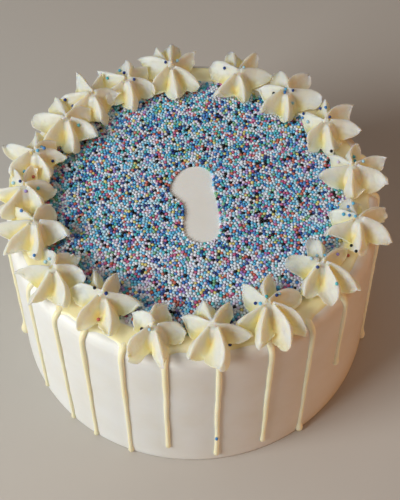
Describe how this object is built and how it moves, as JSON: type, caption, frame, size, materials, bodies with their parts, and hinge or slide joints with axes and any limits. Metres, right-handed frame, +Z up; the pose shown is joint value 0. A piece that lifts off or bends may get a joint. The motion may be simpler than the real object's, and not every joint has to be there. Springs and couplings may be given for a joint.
{
  "type": "birthday cake",
  "caption": "Round iced celebration cake with thin icing drips down its side, a bed of nonpareils round a bare numeral one, and a ring of piped buttercream flowers.",
  "frame": {"origin": "middle of the flat underside that the cake stands on", "axes": "+Z up out of the top of the cake, -Y towards the front, which is the foot of the numeral, +X to the right seen from the front"},
  "size_m": [0.2122, 0.2126, 0.1239],
  "materials": {
    "buttercream": "smooth ivory buttercream with a soft sheen",
    "piped_cream": "piped ivory buttercream, yellower in its folds"
  },
  "bodies": {
    "root": {"iced_cake": "buttercream", "flower_01": "piped_cream", "flower_02": "piped_cream", "flower_03": "piped_cream", "flower_04": "piped_cream", "flower_05": "piped_cream", "flower_06": "piped_cream", "flower_07": "piped_cream", "flower_08": "piped_cream", "flower_09": "piped_cream", "flower_10": "piped_cream", "flower_11": "piped_cream", "flower_12": "piped_cream", "flower_13": "piped_cream", "flower_14": "piped_cream", "flower_15": "piped_cream", "flower_16": "piped_cream", "flower_17": "piped_cream", "flower_18": "piped_cream"}
  },
  "joints": []
}
